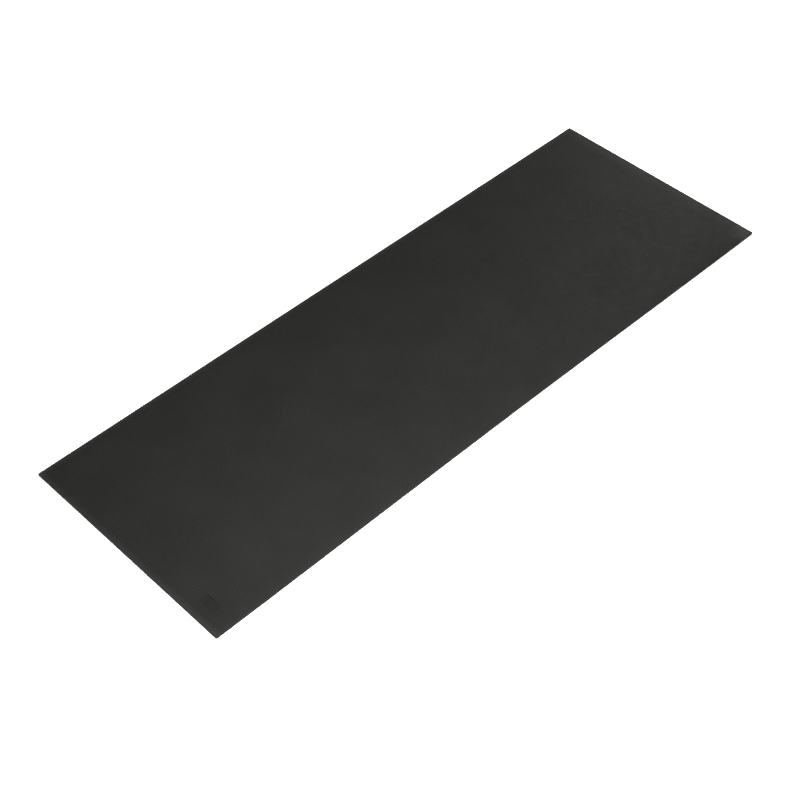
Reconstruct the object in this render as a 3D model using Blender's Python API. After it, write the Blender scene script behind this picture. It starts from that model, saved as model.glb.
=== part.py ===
"""A ribbed floor mat for use under an office chair, lying flat.

Metres, +Z up. The origin is the centre of the underside, +X runs along the mat and +Y across it.
From the floor up the mat is a laminate of four sheets, die-cut together to one outline: a grip
backing, a foam core, a woven scrim and a ribbed wear layer. Its ribs run across the mat. A smooth
badge sits in a pocket near one corner of the wear layer.
"""

import math

import bmesh
import bpy

# Driving dimensions.
LENGTH = 1.727
WIDTH = 0.610
CORNER_RADIUS = 0.0012
BACKING_THICKNESS = 0.0008
CORE_THICKNESS = 0.0017
SCRIM_THICKNESS = 0.0003
WEAR_THICKNESS = 0.0018  # over the tops of the ribs
BOND_GAP = 0.0003  # the adhesive film between two sheets

RIB_PITCH_WANTED = 0.0059
RIB_HEIGHT = 0.0010
END_LAND = 0.003  # from each short edge to the middle of the first groove
TOP_SHARE = 0.40  # of a pitch, on top of a rib
FLANK_SHARE = 0.19  # of a pitch, on each sloping side

BADGE_LENGTH = 0.050  # across the mat
BADGE_WIDTH = 0.022  # along the mat
BADGE_THICKNESS = 0.0009
BADGE_FROM_SHORT_EDGE = 0.0465  # to the badge's centre
BADGE_FROM_LONG_EDGE = 0.075
BADGE_CLEARANCE = 0.0003

# What follows from them.
BACKING_BASE = 0.0
CORE_BASE = BACKING_BASE + BACKING_THICKNESS + BOND_GAP
SCRIM_BASE = CORE_BASE + CORE_THICKNESS + BOND_GAP
WEAR_BASE = SCRIM_BASE + SCRIM_THICKNESS + BOND_GAP
MAT_TOP = WEAR_BASE + WEAR_THICKNESS
BADGE_BASE = MAT_TOP - BADGE_THICKNESS
POCKET_BASE = BADGE_BASE - BOND_GAP
BADGE_X = -LENGTH / 2 + BADGE_FROM_SHORT_EDGE
BADGE_Y = -WIDTH / 2 + BADGE_FROM_LONG_EDGE
RIBBED_LENGTH = LENGTH - 2 * END_LAND
RIB_COUNT = math.floor(RIBBED_LENGTH / RIB_PITCH_WANTED)
RIB_PITCH = RIBBED_LENGTH / RIB_COUNT

CORNER_STEPS = 4  # straight pieces in each quarter round
BADGE_STEPS = 12  # straight pieces in each round end of the badge
CUTTER_MARGIN = 0.002  # how far a cutter runs past what it cuts


def clear_scene():
    for thing in list(bpy.data.objects):
        bpy.data.objects.remove(thing, do_unlink=True)


def make_material(name, colour, roughness):
    material = bpy.data.materials.new(name)
    material.use_nodes = True
    shader = material.node_tree.nodes["Principled BSDF"]
    shader.inputs["Base Color"].default_value = (*colour, 1.0)
    shader.inputs["Roughness"].default_value = roughness
    shader.inputs["Metallic"].default_value = 0.0
    return material


def arc(centre, radius, start, end, steps):
    """Points from the start angle to the end angle, both included, in degrees."""
    turns = [math.radians(start + (end - start) * i / steps) for i in range(steps + 1)]
    return [(centre[0] + radius * math.cos(t), centre[1] + radius * math.sin(t)) for t in turns]


def rounded_rectangle(length, width, radius, steps):
    x, y = length / 2 - radius, width / 2 - radius
    outline = []
    for turn, (cx, cy) in enumerate([(x, y), (-x, y), (-x, -y), (x, -y)]):
        outline += arc((cx, cy), radius, 90 * turn, 90 * turn + 90, steps)
    return outline


def pill(length, width, steps):
    """An outline with two straight sides and two round ends, its length along Y."""
    radius, straight = width / 2, length / 2 - width / 2
    return arc((0, straight), radius, 0, 180, steps) + arc((0, -straight), radius, 180, 360, steps)


def object_of(name, mesh_builder, material=None):
    mesh_builder.normal_update()
    mesh = bpy.data.meshes.new(name)
    mesh_builder.to_mesh(mesh)
    mesh_builder.free()
    thing = bpy.data.objects.new(name, mesh)
    if material:
        mesh.materials.append(material)
    bpy.context.scene.collection.objects.link(thing)
    return thing


def slab(name, outline, base, thickness, material=None):
    """A flat sheet with this outline, standing on the height called base."""
    bm = bmesh.new()
    bottom = bm.faces.new([bm.verts.new((x, y, 0.0)) for x, y in outline])
    raised = bmesh.ops.extrude_face_region(bm, geom=[bottom])["geom"]
    corners = [part for part in raised if isinstance(part, bmesh.types.BMVert)]
    bmesh.ops.translate(bm, verts=corners, vec=(0.0, 0.0, thickness))
    bmesh.ops.recalc_face_normals(bm, faces=bm.faces)
    thing = object_of(name, bm, material)
    thing.location.z = base
    return thing


def rib_profile():
    """The wear layer's top line as (x, z), running past both short edges, with z from its underside."""
    web = WEAR_THICKNESS - RIB_HEIGHT
    half_groove = (1 - TOP_SHARE - 2 * FLANK_SHARE) / 2
    line = [(-LENGTH / 2 - CUTTER_MARGIN, WEAR_THICKNESS)]
    for rib in range(RIB_COUNT + 1):
        groove_middle = -RIBBED_LENGTH / 2 + rib * RIB_PITCH
        for side in (-1, 1):
            foot = groove_middle + side * half_groove * RIB_PITCH
            shoulder = foot + side * FLANK_SHARE * RIB_PITCH
            pair = [(shoulder, WEAR_THICKNESS), (foot, web)]
            line += pair if side < 0 else pair[::-1]
    line.append((LENGTH / 2 + CUTTER_MARGIN, WEAR_THICKNESS))
    return line


def cut(target, cutter, operation):
    """A Boolean on target. The cutter stays as a hidden guide."""
    cutter.hide_render = True
    cutter.display_type = "WIRE"
    change = target.modifiers.new(cutter.name, "BOOLEAN")
    change.operation = operation
    change.object = cutter


def ribbed_sheet(name, base, material):
    """The rib profile extruded across the mat and a little past its edges, to be trimmed."""
    bm = bmesh.new()
    reach = WIDTH / 2 + CUTTER_MARGIN
    profile = rib_profile()
    top = [bm.verts.new((x, -reach, z)) for x, z in profile]
    bottom = [bm.verts.new((x, -reach, 0.0)) for x, z in profile]
    side = [
        bm.faces.new((top[i], top[i + 1], bottom[i + 1], bottom[i])) for i in range(len(profile) - 1)
    ]
    swept = bmesh.ops.extrude_face_region(bm, geom=side)["geom"]
    corners = [part for part in swept if isinstance(part, bmesh.types.BMVert)]
    bmesh.ops.translate(bm, verts=corners, vec=(0.0, 2 * reach, 0.0))
    bmesh.ops.recalc_face_normals(bm, faces=bm.faces)
    sheet = object_of(name, bm, material)
    sheet.location.z = base
    return sheet


def build_wear_layer(outline, material):
    sheet = ribbed_sheet("wear_layer", WEAR_BASE, material)
    trim = slab("outline_guide", outline, WEAR_BASE - CUTTER_MARGIN, WEAR_THICKNESS + 2 * CUTTER_MARGIN)
    cut(sheet, trim, "INTERSECT")
    opening = pill(BADGE_LENGTH + 2 * BADGE_CLEARANCE, BADGE_WIDTH + 2 * BADGE_CLEARANCE, BADGE_STEPS)
    pocket = slab("pocket_guide", opening, POCKET_BASE, MAT_TOP - POCKET_BASE + CUTTER_MARGIN)
    pocket.location.x, pocket.location.y = BADGE_X, BADGE_Y
    cut(sheet, pocket, "DIFFERENCE")
    return sheet


def build_badge(material):
    badge = slab(
        "corner_badge", pill(BADGE_LENGTH, BADGE_WIDTH, BADGE_STEPS), BADGE_BASE, BADGE_THICKNESS, material
    )
    badge.location.x, badge.location.y = BADGE_X, BADGE_Y
    return badge


def build_mat():
    rubber = make_material("ribbed_rubber", (0.033, 0.033, 0.034), 0.75)
    badge_rubber = make_material("badge_rubber", (0.026, 0.026, 0.027), 0.6)
    scrim = make_material("woven_scrim", (0.070, 0.070, 0.068), 0.9)
    foam = make_material("foam", (0.045, 0.045, 0.047), 0.95)
    backing = make_material("backing_rubber", (0.022, 0.022, 0.023), 0.85)
    outline = rounded_rectangle(LENGTH, WIDTH, CORNER_RADIUS, CORNER_STEPS)
    slab("grip_backing", outline, BACKING_BASE, BACKING_THICKNESS, backing)
    slab("cushion_core", outline, CORE_BASE, CORE_THICKNESS, foam)
    slab("reinforcing_scrim", outline, SCRIM_BASE, SCRIM_THICKNESS, scrim)
    build_wear_layer(outline, rubber)
    build_badge(badge_rubber)


clear_scene()
build_mat()
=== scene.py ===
"""A thin ribbed floor mat lying on a pale studio floor.

Metres, +Z up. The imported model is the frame: X runs along the mat, Y across it, and the floor is at
z = 0. Each sheet of the laminate is remade here at its CAD place with a finer surface, and all of
them follow one shared shape, the way the mat really lies.
"""

import math

import bpy
import numpy as np
from mathutils import Matrix, Vector


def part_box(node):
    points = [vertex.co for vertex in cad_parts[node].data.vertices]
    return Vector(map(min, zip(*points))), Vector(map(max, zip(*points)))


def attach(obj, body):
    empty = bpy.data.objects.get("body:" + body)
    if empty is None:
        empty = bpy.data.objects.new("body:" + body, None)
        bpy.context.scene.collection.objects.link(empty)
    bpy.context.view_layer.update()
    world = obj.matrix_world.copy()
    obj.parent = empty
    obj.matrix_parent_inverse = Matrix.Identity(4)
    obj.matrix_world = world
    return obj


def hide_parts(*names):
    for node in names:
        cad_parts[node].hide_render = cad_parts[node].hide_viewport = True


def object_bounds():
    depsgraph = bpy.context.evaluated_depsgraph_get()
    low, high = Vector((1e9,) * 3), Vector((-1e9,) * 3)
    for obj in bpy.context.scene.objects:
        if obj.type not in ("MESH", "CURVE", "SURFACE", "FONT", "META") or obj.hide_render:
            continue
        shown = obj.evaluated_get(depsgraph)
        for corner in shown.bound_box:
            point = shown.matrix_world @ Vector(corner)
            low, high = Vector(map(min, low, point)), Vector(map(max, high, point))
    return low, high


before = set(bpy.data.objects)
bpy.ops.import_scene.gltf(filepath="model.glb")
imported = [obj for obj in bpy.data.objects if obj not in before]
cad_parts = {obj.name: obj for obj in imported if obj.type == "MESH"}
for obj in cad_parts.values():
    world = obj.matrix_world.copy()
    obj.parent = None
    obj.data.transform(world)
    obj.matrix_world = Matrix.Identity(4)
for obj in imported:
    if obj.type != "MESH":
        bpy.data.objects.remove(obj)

CAD_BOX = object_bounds()

# ------------------------------------------------------------ places taken from the frame
HALF_LENGTH = CAD_BOX[1][0]
HALF_WIDTH = CAD_BOX[1][1]
MAT_TOP = CAD_BOX[1][2]
BADGE_LOW, BADGE_HIGH = (Vector(corner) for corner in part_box("corner_badge"))
BADGE_CENTRE = (BADGE_LOW + BADGE_HIGH) / 2


def bond_height(lower, upper):
    """Where two bonded sheets meet: the middle of the gap that the CAD leaves between them."""
    return (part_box(lower)[1][2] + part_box(upper)[0][2]) / 2


BACKING_TOP = bond_height("grip_backing", "cushion_core")
CORE_TOP = bond_height("cushion_core", "reinforcing_scrim")
SCRIM_TOP = bond_height("reinforcing_scrim", "wear_layer")

# ------------------------------------------------------------ driving sizes
RIB_COUNT = 291
RIB_HEIGHT = 0.0010
END_LAND = 0.003  # from each short edge to the middle of the first groove
RIB_PITCH = 2 * (HALF_LENGTH - END_LAND) / RIB_COUNT
# Half of one rib, from the middle of a groove to the top: how far along the pitch, and how high.
HALF_RIB = ((0.0, 0.0), (0.11, 0.06), (0.21, 0.52), (0.32, 0.90), (0.5, 1.0))

CORNER_RADIUS = 0.0012
EDGE_ROUNDING = 0.0004  # radius of the die-cut top edge
BADGE_CLEARANCE = 0.0003
BADGE_SUNK = 0.0001  # below the tops of the ribs
POCKET_MARGIN = 0.004  # the ribs are divided this far past the badge's ends, so that they shade evenly

GRIP_PITCH = 0.0125  # between the wavy grooves under the mat
GRIP_DEPTH = 0.00045
GRIP_WAVE = 0.0034  # how far a groove swings to each side
GRIP_WAVELENGTH = 0.070
EDGE_MARGIN = 0.012  # the plain margin around the grooves
# One pitch from the middle of a groove: how far along it, and the share of the depth there.
GROOVE = ((0.0, 1.0), (0.09, 0.85), (0.19, 0.0), (0.5, 0.0), (0.81, 0.0), (0.91, 0.85))

# ------------------------------------------------------------ how the mat lies
NEAR_BOW = 0.0022  # how far the near long edge is drawn in at its middle
NEAR_LIFT = 0.0018  # and how far it stands off the floor there
NEAR_LIFT_FADE = 0.07  # a lift falls to 37% over its fade
FAR_END_LIFT = 0.0009  # of the short edge at +X
FAR_END_FADE = 0.022
EDGE_CURL = 0.00035  # the slight upturn that the die leaves along every edge
EDGE_CURL_FADE = 0.006
RIPPLE = 0.0003  # soft waves that the rubber keeps from being rolled up
RIPPLE_MARGIN = 0.1  # over which they die out towards the edges
# Each wave's share, its turn in radians for each metre along X and Y, and where it starts.
WAVES = ((0.6, 9.0, 1.5, 1.1), (0.4, 17.0, -2.3, 0.4))


def along_near_edge(x):
    """1 at the middle of the mat's length, fading smoothly to 0 at its ends."""
    return np.cos(np.clip(np.pi * x / (2 * HALF_LENGTH), -np.pi / 2, np.pi / 2)) ** 2


def lay(x, y):
    """How far the underside is above the floor, for numbers or arrays."""
    to_near, to_far_end = y + HALF_WIDTH, HALF_LENGTH - x
    to_edge = np.minimum(HALF_LENGTH - np.abs(x), HALF_WIDTH - np.abs(y))
    near = NEAR_LIFT * along_near_edge(x) * np.exp(-to_near / NEAR_LIFT_FADE)
    end = FAR_END_LIFT * np.exp(-to_far_end / FAR_END_FADE)
    curl = EDGE_CURL * np.exp(-to_edge / EDGE_CURL_FADE)
    waves = 1.0
    for share, along, across, start in WAVES:
        waves = waves + share * np.sin(along * x + across * y + start)
    flat_at_edges = np.clip(to_edge / RIPPLE_MARGIN, 0, 1)
    return near + end + curl + RIPPLE * waves * flat_at_edges


def bowed(x, y):
    """The y of a point once the near long edge is drawn in."""
    across = np.clip((HALF_WIDTH - y) / (2 * HALF_WIDTH), 0, 1) ** 2
    return y + NEAR_BOW * along_near_edge(x) * across


# ------------------------------------------------------------ camera, light and floor
CAMERA_AT = (-1.8560, -1.9403, 2.6539)
CAMERA_HEADING = 42.705  # degrees from +Y towards +X
CAMERA_DOWN = 46.530  # degrees below level
CAMERA_ROLL = 1.787  # degrees clockwise, as seen from behind the camera
CAMERA_LENS = 72.71  # millimetres
CAMERA_SENSOR = 36.0  # millimetres wide

WORLD_STRENGTH = 0.71
# Each softbox: its name, place, the point that it faces, its size and its watts.
SOFTBOXES = (
    ("overhead", (0.0, 0.0, 3.2), (0.0, 0.0, 0.0), (3.0, 3.0), 60.0),
    ("near_strip", (-0.45, -0.75, 0.95), (-0.4, -0.3, 0.0), (1.3, 0.3), 30.5),
    ("near_corner", (-0.9, -0.75, 0.9), (-0.55, -0.1, 0.0), (0.5, 0.5), 12.2),
    ("far_end", (1.3, 0.2, 0.55), (0.75, 0.0, 0.0), (0.4, 0.4), 9.8),
)
FLOOR_SIDE = 30.0
FLOOR_DROP = 0.0002  # keeps the floor clear of the mat's underside
FLOOR_PAINT = (0.90, 0.90, 0.90, 1.0)


def build_camera():
    data = bpy.data.cameras.new("camera")
    data.sensor_width = CAMERA_SENSOR
    data.lens = CAMERA_LENS
    camera = bpy.data.objects.new("camera", data)
    bpy.context.scene.collection.objects.link(camera)
    turn = Matrix.Rotation(-math.radians(CAMERA_HEADING), 4, "Z")
    tilt = Matrix.Rotation(math.radians(90 - CAMERA_DOWN), 4, "X")
    roll = Matrix.Rotation(-math.radians(CAMERA_ROLL), 4, "Z")
    camera.matrix_world = Matrix.Translation(CAMERA_AT) @ turn @ tilt @ roll
    bpy.context.scene.camera = camera


def softbox(name, at, aim, size, power):
    data = bpy.data.lights.new(name, "AREA")
    data.shape = "RECTANGLE"
    data.size, data.size_y = size
    data.energy = power
    light = bpy.data.objects.new(name, data)
    bpy.context.scene.collection.objects.link(light)
    light.location = at
    light.rotation_mode = "QUATERNION"
    light.rotation_quaternion = (Vector(aim) - Vector(at)).to_track_quat("-Z", "Y")
    light.visible_camera = False


def build_light():
    scene = bpy.context.scene
    scene.view_settings.view_transform = "Standard"
    scene.world = bpy.data.worlds.new("studio")
    scene.world.use_nodes = True
    background = scene.world.node_tree.nodes["Background"]
    background.inputs["Color"].default_value = (1.0, 1.0, 1.0, 1.0)
    background.inputs["Strength"].default_value = WORLD_STRENGTH
    for name, at, aim, size, power in SOFTBOXES:
        softbox(name, at, aim, size, power)


def build_floor():
    half = FLOOR_SIDE / 2
    mesh = bpy.data.meshes.new("floor")
    corners = [(-half, -half, 0.0), (half, -half, 0.0), (half, half, 0.0), (-half, half, 0.0)]
    mesh.from_pydata(corners, [], [(0, 1, 2, 3)])
    floor = bpy.data.objects.new("floor", mesh)
    floor.location.z = -FLOOR_DROP
    bpy.context.scene.collection.objects.link(floor)
    material, shader, _ = new_material("floor_paint")
    shader.inputs["Base Color"].default_value = FLOOR_PAINT
    shader.inputs["Roughness"].default_value = 0.9
    shader.inputs["Specular IOR Level"].default_value = 0.2
    mesh.materials.append(material)


# ------------------------------------------------------------ material nodes
# Each cut edge painted paler, a painted sheen along it: its axis and side, how far in that reaches, and
# how strong it is.
PAINTED_SHEEN_EDGES = (
    ("X", 1, 0.035, 0.45),
    ("X", -1, 0.016, 0.50),
    ("Y", 1, 0.016, 0.60),
    ("Y", -1, 0.010, 0.10),
)
# A painted highlight at the +X, -Y corner: its reach and its strength.
PAINTED_HIGHLIGHT_REACH = (0.055, 0.055)  # along X and Y from the +X, -Y corner
PAINTED_HIGHLIGHT_STRENGTH = 1.8


def new_material(name):
    material = bpy.data.materials.new(name)
    material.use_nodes = True
    tree = material.node_tree
    return material, tree.nodes["Principled BSDF"], tree


def add_node(tree, kind, inputs=(), **settings):
    node = tree.nodes.new(kind)
    for key, value in settings.items():
        setattr(node, key, value)
    for key, value in dict(inputs).items():
        if isinstance(value, bpy.types.NodeSocket):
            tree.links.new(value, node.inputs[key])
        else:
            node.inputs[key].default_value = value
    return node


def object_place(tree):
    return add_node(tree, "ShaderNodeTexCoord").outputs["Object"]


def noise(tree, place, scale, detail=3.0):
    return add_node(
        tree, "ShaderNodeTexNoise", {"Vector": place, "Scale": scale, "Detail": detail}
    ).outputs["Fac"]


def remap(tree, value, low, high, source_low=0.3, source_high=0.7):
    """From low to high as the value goes from source_low to source_high, where noise mostly lies."""
    return add_node(
        tree,
        "ShaderNodeMapRange",
        {
            "Value": value,
            "From Min": source_low,
            "From Max": source_high,
            "To Min": low,
            "To Max": high,
        },
    ).outputs["Result"]


def maths(tree, operation, first, second):
    return add_node(tree, "ShaderNodeMath", {0: first, 1: second}, operation=operation).outputs[0]


def blend_colour(tree, factor, low, high):
    """From colour low to colour high. Each is three numbers or a socket."""
    node = add_node(tree, "ShaderNodeMix", {0: factor}, data_type="RGBA")
    for index, colour in ((6, low), (7, high)):
        if isinstance(colour, bpy.types.NodeSocket):
            tree.links.new(colour, node.inputs[index])
        else:
            node.inputs[index].default_value = (*colour, 1.0)
    return node.outputs[2]


def bumped(tree, shader, height, depth, strength=1.0):
    bump = add_node(tree, "ShaderNodeBump", {"Height": height, "Distance": depth, "Strength": strength})
    tree.links.new(bump.outputs["Normal"], shader.inputs["Normal"])


def close_to_side(tree, axes, axis, side, reach):
    """1 at one side of the mat, fading to 0 this far inside it."""
    half = {"X": HALF_LENGTH, "Y": HALF_WIDTH}[axis]
    outward = maths(tree, "MULTIPLY", axes[axis], float(side))
    return remap(tree, outward, 0.0, 1.0, half - reach, half)


def painted_sheen(tree):
    """Where the rubber is painted paler: a painted sheen around its cut edges, and a painted highlight at
    one corner.
    """
    place = object_place(tree)
    axes = add_node(tree, "ShaderNodeSeparateXYZ", {"Vector": place}).outputs
    reach_x, reach_y = PAINTED_HIGHLIGHT_REACH
    from_end = close_to_side(tree, axes, "X", 1, reach_x)
    from_side = close_to_side(tree, axes, "Y", -1, reach_y)
    corner = maths(tree, "MULTIPLY", from_end, from_side)
    sheen = maths(tree, "MULTIPLY", corner, PAINTED_HIGHLIGHT_STRENGTH)
    for axis, side, reach, strength in PAINTED_SHEEN_EDGES:
        edge = maths(tree, "MULTIPLY", close_to_side(tree, axes, axis, side, reach), strength)
        sheen = maths(tree, "ADD", sheen, edge)
    patches = remap(tree, noise(tree, place, 60.0), 0.8, 1.2)
    return maths(tree, "MULTIPLY", sheen, patches)


def ribbed_rubber():
    """Black rubber: fine grain, grooves darkened with painted shade, smoother rib tops and painted sheen
    along the edges.
    """
    material, shader, tree = new_material("ribbed_rubber")
    place = object_place(tree)
    crest = add_node(tree, "ShaderNodeAttribute", attribute_name="crest").outputs["Fac"]
    cloud = remap(tree, noise(tree, place, 7.0, 4.0), 0.0, 1.0)
    body = blend_colour(tree, cloud, (0.0082, 0.0083, 0.0076), (0.0100, 0.0100, 0.0092))
    # The grooves are painted darker than the rib tops: painted shade in the recesses between the ribs.
    groove = blend_colour(tree, cloud, (0.0071, 0.0071, 0.0066), (0.0086, 0.0086, 0.0080))
    ribs_with_painted_shade = blend_colour(tree, crest, groove, body)
    # Painted sheen: a paler colour along the cut edges, strongest as a painted highlight at one corner.
    colour = blend_colour(tree, painted_sheen(tree), ribs_with_painted_shade, (0.0185, 0.0185, 0.0171))
    tree.links.new(colour, shader.inputs["Base Color"])
    rubbed = remap(tree, crest, 0.80, 0.62, 0.0, 1.0)
    patchy = remap(tree, noise(tree, place, 45.0), -0.05, 0.05)
    tree.links.new(maths(tree, "ADD", rubbed, patchy), shader.inputs["Roughness"])
    shader.inputs["Specular IOR Level"].default_value = 0.06
    grain = noise(tree, place, 2400.0, 2.0)
    bumped(tree, shader, grain, 0.00005, 0.7)
    return material


def badge_rubber():
    """Satin rubber, a little darker and smoother than the ribs."""
    material, shader, tree = new_material("badge_rubber")
    place = object_place(tree)
    cloud = remap(tree, noise(tree, place, 90.0), 0.0, 1.0)
    colour = blend_colour(tree, cloud, (0.0050, 0.0050, 0.0044), (0.0063, 0.0063, 0.0057))
    tree.links.new(colour, shader.inputs["Base Color"])
    tree.links.new(remap(tree, noise(tree, place, 300.0), 0.42, 0.52), shader.inputs["Roughness"])
    shader.inputs["Specular IOR Level"].default_value = 0.07
    bumped(tree, shader, noise(tree, place, 1800.0, 2.0), 0.00003, 0.5)
    return material


def backing_rubber():
    """Matt rubber, coarser in grain than the wear layer."""
    material, shader, tree = new_material("backing_rubber")
    place = object_place(tree)
    cloud = remap(tree, noise(tree, place, 11.0, 4.0), 0.0, 1.0)
    colour = blend_colour(tree, cloud, (0.0070, 0.0070, 0.0067), (0.0104, 0.0104, 0.0101))
    tree.links.new(colour, shader.inputs["Base Color"])
    tree.links.new(remap(tree, noise(tree, place, 80.0), 0.70, 0.85), shader.inputs["Roughness"])
    shader.inputs["Specular IOR Level"].default_value = 0.35
    bumped(tree, shader, noise(tree, place, 1500.0), 0.00008, 0.8)
    return material


def core_foam():
    """Closed-cell foam, whose cut edge shows its cells."""
    material, shader, tree = new_material("core_foam")
    place = object_place(tree)
    cells = add_node(tree, "ShaderNodeTexVoronoi", {"Vector": place, "Scale": 2600.0}).outputs["Distance"]
    wall = remap(tree, cells, 0.0, 1.0, 0.15, 0.6)
    colour = blend_colour(tree, wall, (0.0044, 0.0044, 0.0044), (0.0130, 0.0130, 0.0126))
    tree.links.new(colour, shader.inputs["Base Color"])
    shader.inputs["Roughness"].default_value = 0.95
    shader.inputs["Specular IOR Level"].default_value = 0.25
    bumped(tree, shader, cells, 0.00015)
    return material


THREAD_PITCH = 0.0008
WAVE_PERIOD = 2 * math.pi / 20  # of Blender's wave texture at a scale of 1


def woven_scrim():
    """An open plain weave of dark polyester."""
    material, shader, tree = new_material("woven_scrim")
    threads = [
        add_node(
            tree,
            "ShaderNodeTexWave",
            {"Vector": object_place(tree), "Scale": WAVE_PERIOD / THREAD_PITCH, "Distortion": 0.6},
            bands_direction=axis,
        ).outputs["Fac"]
        for axis in "XY"
    ]
    weave = maths(tree, "MAXIMUM", *threads)
    colour = blend_colour(tree, weave, (0.0088, 0.0088, 0.0085), (0.0295, 0.0295, 0.0286))
    tree.links.new(colour, shader.inputs["Base Color"])
    shader.inputs["Roughness"].default_value = 0.85
    shader.inputs["Specular IOR Level"].default_value = 0.3
    bumped(tree, shader, weave, 0.0002)
    return material


# ------------------------------------------------------------ mesh building
SHARP_ABOVE = 50  # degrees between two faces, past which their shared edge stays crisp
MERGE_DECIMALS = 7  # of a metre: grid lines that agree this far are one
STEPS_ACROSS = 7  # even grid steps across the mat, for sheets that need no more
STEPS_ALONG = 96
STEPS_PER_WAVE = 6  # of the grooves under the mat


def shade(mesh):
    mesh.shade_smooth()
    mesh.set_sharp_from_angle(angle=math.radians(SHARP_ABOVE))


def add_object(name, mesh, material):
    mesh.materials.append(material)
    shade(mesh)
    thing = bpy.data.objects.new(name, mesh)
    bpy.context.scene.collection.objects.link(thing)
    return thing


def lines_across(half, steps, near_edges):
    """Even grid lines from -half to half, and extra ones at these distances from both edges."""
    lines = list(np.linspace(-half, half, steps + 1))
    for distance in near_edges:
        lines += [-half + distance, half - distance]
    return np.unique(np.round(lines, MERGE_DECIMALS))


def round_corners(x, y):
    """Moves the grid points that lie past a rounded corner onto its arc."""
    dx = np.abs(x) - (HALF_LENGTH - CORNER_RADIUS)
    dy = np.abs(y) - (HALF_WIDTH - CORNER_RADIUS)
    away = np.hypot(dx, dy)
    past = (dx > 0) & (dy > 0) & (away > 0)
    # A square ring of the grid turns into a round one of the same reach.
    shrink = np.where(past, np.maximum(dx, dy) / np.maximum(away, 1e-9), 1.0)
    new_x = np.where(past, np.sign(x) * (HALF_LENGTH - CORNER_RADIUS + dx * shrink), x)
    new_y = np.where(past, np.sign(y) * (HALF_WIDTH - CORNER_RADIUS + dy * shrink), y)
    return new_x, new_y


def edge_loop(grid):
    """The indices around a grid's outside, anticlockwise from above."""
    return np.concatenate([grid[:-1, 0], grid[-1, :-1], grid[:0:-1, -1], grid[0, :0:-1]])


def closed_sheet(name, xs, ys, top_z, bottom_z, material, wall=(), inset=0.0, shift_y=None):
    """A closed sheet on one grid. wall lists (share of the way down, outward offset) loops on its
    cut edge, inset draws the whole outline in, and shift_y moves the bottom's inner lines."""
    x, y = np.meshgrid(xs, ys, indexing="ij")
    px, py = round_corners(x, y)
    px, py = px * (1 - inset / HALF_LENGTH), py * (1 - inset / HALF_WIDTH)
    low_y = py + (shift_y(x, y) if shift_y else 0.0)
    points = [
        np.stack([px, bowed(px, py), top_z(x, y)], -1).reshape(-1, 3),
        np.stack([px, bowed(px, low_y), bottom_z(x, y)], -1).reshape(-1, 3),
    ]
    count = x.size
    top = np.arange(count).reshape(x.shape)
    bottom = top + count
    quads = np.stack([top[:-1, :-1], top[1:, :-1], top[1:, 1:], top[:-1, 1:]], -1).reshape(-1, 4)
    faces = [quads, (quads + count)[:, ::-1]]
    high_loop, low_loop = edge_loop(top), edge_loop(bottom)
    both = np.concatenate(points)
    high, low = both[high_loop], both[low_loop]
    ahead, behind = np.roll(high, -1, 0), np.roll(high, 1, 0)
    outward = np.stack([ahead[:, 1] - behind[:, 1], behind[:, 0] - ahead[:, 0]], -1)
    outward /= np.linalg.norm(outward, axis=1)[:, None]
    loops, start = [high_loop], 2 * count
    for share, offset in wall:
        ring = high * (1 - share) + low * share
        ring[:, :2] += outward * offset
        points.append(ring)
        loops.append(np.arange(start, start + len(ring)))
        start += len(ring)
    loops.append(low_loop)
    for upper, lower in zip(loops, loops[1:]):
        faces.append(np.stack([np.roll(upper, -1), upper, lower, np.roll(lower, -1)], -1))
    mesh = bpy.data.meshes.new(name)
    mesh.from_pydata(np.concatenate(points).tolist(), [], np.concatenate(faces).tolist())
    return add_object(name, mesh, material)


def place_piece(piece, node_name):
    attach(piece, "root")
    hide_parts(node_name)


SHARED_ROWS = (0.0, 0.03, 0.07, 0.12)  # in from the long edges, where the lay changes fastest


def rib_lines():
    """Where the wear layer is sampled along X, and the share of a rib's height at each."""
    pitch_points = list(HALF_RIB) + [(1 - at, share) for at, share in HALF_RIB[-2:0:-1]]
    first_groove = -HALF_LENGTH + END_LAND
    lines = [
        (first_groove + (rib + at) * RIB_PITCH, share)
        for rib in range(RIB_COUNT)
        for at, share in pitch_points
    ]
    lines.append((-first_groove, 0.0))
    land = [(at * RIB_PITCH, share) for at, share in HALF_RIB[1:4]]
    from_edge = (2 * EDGE_ROUNDING, EDGE_ROUNDING, EDGE_ROUNDING / 4, 0.0)
    land += [(END_LAND - step, 1.0) for step in from_edge]
    for offset, share in land:
        lines += [(first_groove - offset, share), (-first_groove + offset, share)]
    lines.sort()
    return np.array([at for at, _ in lines]), np.array([share for _, share in lines])


def rounded_drop(x, y):
    """How far a die-cut top edge falls away, near the edge."""
    to_edge = np.minimum(HALF_LENGTH - np.abs(x), HALF_WIDTH - np.abs(y))
    inward = np.clip(1 - to_edge / EDGE_ROUNDING, 0, 1)
    return EDGE_ROUNDING * (1 - np.sqrt(1 - inward**2))


def mark_crests(mesh):
    """Stores how high up a rib each point is, from 0 in a groove to 1 on top, for the material."""
    points = np.empty(len(mesh.vertices) * 3, np.float32)
    mesh.vertices.foreach_get("co", points)
    x, y, z = points.reshape(-1, 3).T.astype(float)
    share = np.clip((z - lay(x, y) - (MAT_TOP - RIB_HEIGHT)) / RIB_HEIGHT, 0, 1)
    mesh.attributes.new("crest", "FLOAT", "POINT").data.foreach_set("value", share.astype(np.float32))


def pill_outline(length, width, steps=20):
    """Points around a pill shape, its length along Y, anticlockwise."""
    radius, straight = width / 2, (length - width) / 2
    turns = np.linspace(0, np.pi, steps + 1)
    end = np.stack([radius * np.cos(turns), radius * np.sin(turns) + straight], -1)
    return np.concatenate([end, -end])


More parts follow.
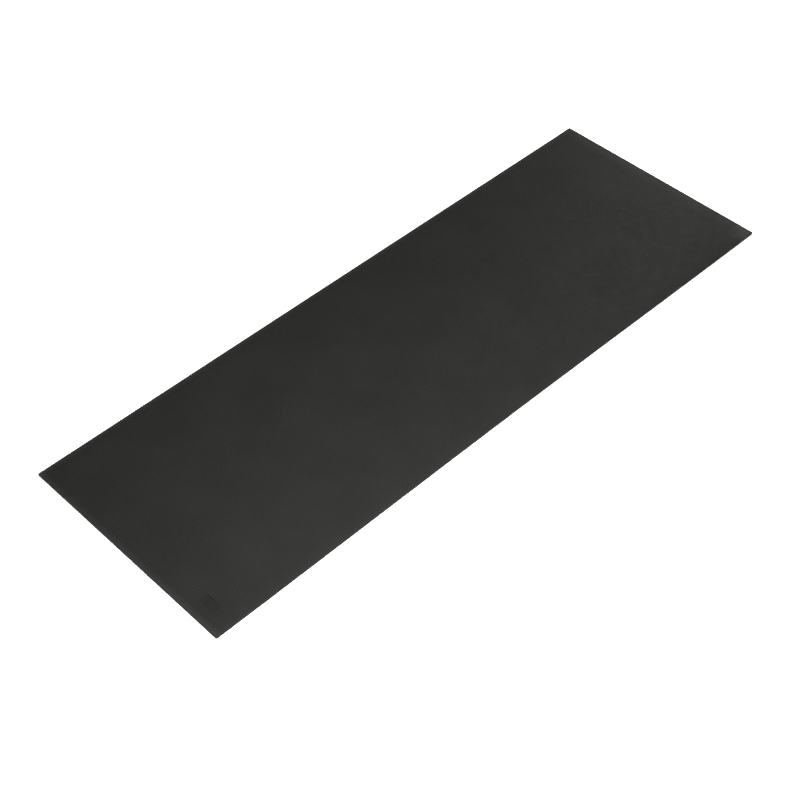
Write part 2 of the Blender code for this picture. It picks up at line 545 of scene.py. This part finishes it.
def stacked_pill(name, rings, centre, base, material):
    """A closed solid from pill-shaped rings, bottom first: (length, width, height above base)."""
    outlines = [(pill_outline(length, width), height) for length, width, height in rings]
    count = len(outlines[0][0])
    points = np.concatenate([np.c_[flat, np.full(count, height)] for flat, height in outlines])
    points += np.array([centre[0], centre[1], base])
    faces = [list(range(count))[::-1]]
    for ring in range(len(rings) - 1):
        low = ring * count
        for i in range(count):
            j = (i + 1) % count
            faces.append([low + i, low + j, low + count + j, low + count + i])
    faces.append(list(range((len(rings) - 1) * count, len(rings) * count)))
    mesh = bpy.data.meshes.new(name)
    mesh.from_pydata(points.tolist(), [], faces)
    return add_object(name, mesh, material)


def cut_pocket(sheet, material):
    """Cuts the badge's pocket, and leaves no modifier behind."""
    length = BADGE_HIGH.y - BADGE_LOW.y + 2 * BADGE_CLEARANCE
    width = BADGE_HIGH.x - BADGE_LOW.x + 2 * BADGE_CLEARANCE
    depth = MAT_TOP - BADGE_LOW.z
    base = BADGE_LOW.z + lay(BADGE_CENTRE.x, BADGE_CENTRE.y)
    rings = ((length, width, 0.0), (length, width, 2 * depth))
    cutter = stacked_pill("pocket_cutter", rings, BADGE_CENTRE, base, material)
    change = sheet.modifiers.new("pocket", "BOOLEAN")
    change.operation = "DIFFERENCE"
    change.object = cutter
    cut = sheet.evaluated_get(bpy.context.evaluated_depsgraph_get())
    mesh = bpy.data.meshes.new_from_object(cut)
    sheet.modifiers.clear()
    sheet.data = mesh
    shade(mesh)
    bpy.data.objects.remove(cutter)


def build_wear_layer():
    xs, shares = rib_lines()
    ys = lines_across(HALF_WIDTH, STEPS_ACROSS, (*SHARED_ROWS, EDGE_ROUNDING / 4, EDGE_ROUNDING))
    around_badge = (BADGE_LOW.y - POCKET_MARGIN, BADGE_HIGH.y + POCKET_MARGIN)
    ys = np.unique(np.concatenate([ys, around_badge]))
    rib_height = RIB_HEIGHT * (shares[:, None] - 1)
    material = ribbed_rubber()
    sheet = closed_sheet(
        "ribbed_sheet",
        xs,
        ys,
        lambda x, y: MAT_TOP + rib_height - rounded_drop(x, y) + lay(x, y),
        lambda x, y: SCRIM_TOP + lay(x, y),
        material,
    )
    cut_pocket(sheet, material)
    mark_crests(sheet.data)
    place_piece(sheet, "wear_layer")


def build_badge():
    """A smooth pill with a low raised border."""
    length, width = BADGE_HIGH.y - BADGE_LOW.y, BADGE_HIGH.x - BADGE_LOW.x
    height = MAT_TOP - BADGE_SUNK - BADGE_LOW.z
    # Each step in from the outline, and the height there.
    steps = (
        (0.0, 0.0),
        (0.0, height - 0.00025),
        (0.00008, height - 0.00008),
        (0.00025, height),
        (0.0012, height),
        (0.0014, height - 0.00006),
        (0.0016, height - 0.0002),
        (0.0019, height - 0.00025),
        (0.0050, height - 0.00020),
        (0.0090, height - 0.00016),
    )
    rings = [(length - 2 * inset, width - 2 * inset, z) for inset, z in steps]
    base = BADGE_LOW.z + lay(BADGE_CENTRE.x, BADGE_CENTRE.y)
    badge = stacked_pill("badge", rings, BADGE_CENTRE, base, badge_rubber())
    place_piece(badge, "corner_badge")


def plain_grid():
    near_ends = (0.0, CORNER_RADIUS / 3, CORNER_RADIUS, 0.01, 0.03, 0.05)
    xs = lines_across(HALF_LENGTH, STEPS_ALONG, near_ends)
    ys = lines_across(HALF_WIDTH, STEPS_ACROSS, (*SHARED_ROWS, CORNER_RADIUS / 3, CORNER_RADIUS))
    return xs, ys


def build_scrim():
    xs, ys = plain_grid()
    scrim = closed_sheet(
        "scrim_sheet",
        xs,
        ys,
        lambda x, y: SCRIM_TOP + lay(x, y),
        lambda x, y: CORE_TOP + lay(x, y),
        woven_scrim(),
        wall=((0.25, 0.0001), (0.75, 0.0001)),
        inset=0.0001,
    )
    place_piece(scrim, "reinforcing_scrim")


def build_core():
    xs, ys = plain_grid()
    core = closed_sheet(
        "foam_sheet",
        xs,
        ys,
        lambda x, y: CORE_TOP + lay(x, y),
        lambda x, y: BACKING_TOP + lay(x, y),
        core_foam(),
        wall=((0.12, -0.00012), (0.5, -0.0003), (0.88, -0.00012)),
    )
    place_piece(core, "cushion_core")


def build_backing():
    """The grip side: shallow wavy grooves along the mat, inside a plain margin."""
    field_half = HALF_WIDTH - EDGE_MARGIN
    groove_count = round(2 * field_half / GRIP_PITCH)
    pitch = 2 * field_half / groove_count
    lines = {-field_half: 0.0, field_half: 0.0}
    for groove in range(groove_count):
        for along, share in GROOVE:
            lines.setdefault(-field_half + (groove + along) * pitch, share if groove else 0.0)
    for margin in (0.0, CORNER_RADIUS / 3, CORNER_RADIUS):
        lines[HALF_WIDTH - margin] = lines[margin - HALF_WIDTH] = 0.0
    ys = np.array(sorted(lines))
    shares = np.array([lines[y] for y in ys])
    x_steps = round(2 * HALF_LENGTH / GRIP_WAVELENGTH * STEPS_PER_WAVE)
    xs = lines_across(HALF_LENGTH, x_steps, (0.0, CORNER_RADIUS / 3, CORNER_RADIUS, EDGE_MARGIN))

    def inside(x, y):
        """1 within the grooved field, 0 at its margin."""
        room = np.minimum(HALF_LENGTH - EDGE_MARGIN - np.abs(x), field_half - np.abs(y))
        return np.clip(room / GRIP_PITCH, 0, 1)

    def wander(x, y):
        return GRIP_WAVE * np.sin(2 * np.pi * x / GRIP_WAVELENGTH) * inside(x, y)

    def underside(x, y):
        return GRIP_DEPTH * shares[None, :] * (inside(x, y) > 0) + lay(x, y)

    backing = closed_sheet(
        "backing_sheet",
        xs,
        ys,
        lambda x, y: BACKING_TOP + lay(x, y),
        underside,
        backing_rubber(),
        wall=((0.2, 0.00008), (0.75, 0.00008)),
        shift_y=wander,
    )
    place_piece(backing, "grip_backing")


build_camera()
build_light()
build_floor()
build_wear_layer()
build_badge()
build_scrim()
build_core()
build_backing()
